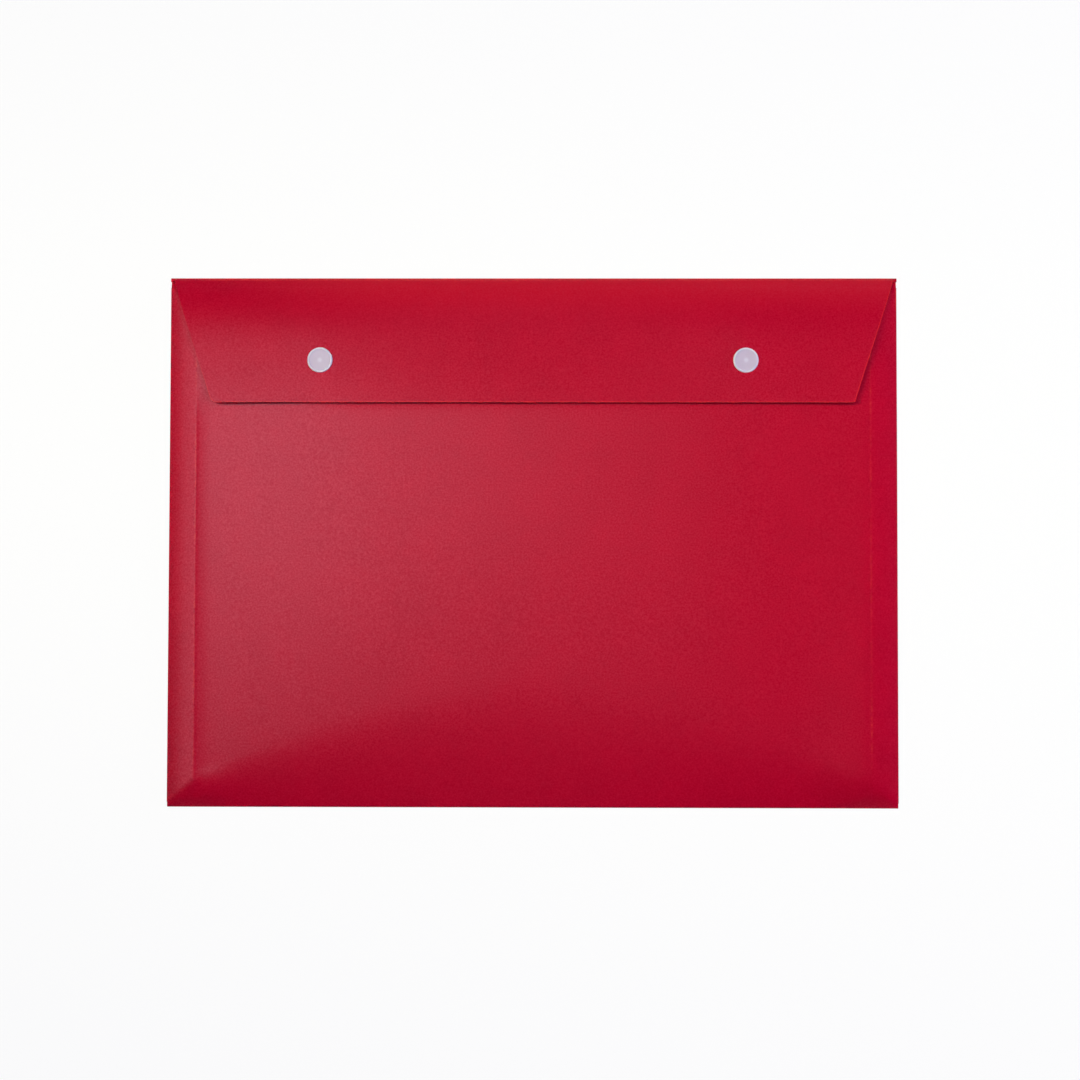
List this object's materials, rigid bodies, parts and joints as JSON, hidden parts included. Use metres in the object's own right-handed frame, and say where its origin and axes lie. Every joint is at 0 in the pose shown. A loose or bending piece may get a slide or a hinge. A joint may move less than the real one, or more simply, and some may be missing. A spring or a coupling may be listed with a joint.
{
  "type": "document wallet",
  "caption": "Landscape document wallet of creased translucent red plastic sheet: an open-mouthed pocket under a tapered flap that swings on its crease and closes with round press studs.",
  "frame": {"origin": "on the surface the wallet lies on, under the middle of its outline", "axes": "+X across the wallet to the right, +Y towards the flap's crease, +Z out of the surface, towards the closed flap"},
  "size_m": [0.33, 0.24, 0.0124],
  "materials": {
    "red_sheet": "fine sand-grained satin polypropylene sheet, slightly translucent",
    "snap_plastic": "moulded translucent white plastic, lightly glossy"
  },
  "bodies": {
    "pocket": {"back_panel": "red_sheet", "left_side_tab": "red_sheet", "right_side_tab": "red_sheet", "front_panel": "red_sheet", "flap_crease": "red_sheet", "left_stud": "snap_plastic", "left_stud_cap": "snap_plastic", "right_stud": "snap_plastic", "right_stud_cap": "snap_plastic"},
    "flap": {"flap_panel": "red_sheet", "left_flap_cap": "snap_plastic", "left_socket": "snap_plastic", "right_flap_cap": "snap_plastic", "right_socket": "snap_plastic"}
  },
  "joints": [
    {"name": "flap_hinge", "type": "hinge", "parent": "pocket", "child": "flap", "pos_m": [0, 0.1191, 0.0009], "axis": [-1, 0, 0], "range_deg": [0, 150]}
  ]
}
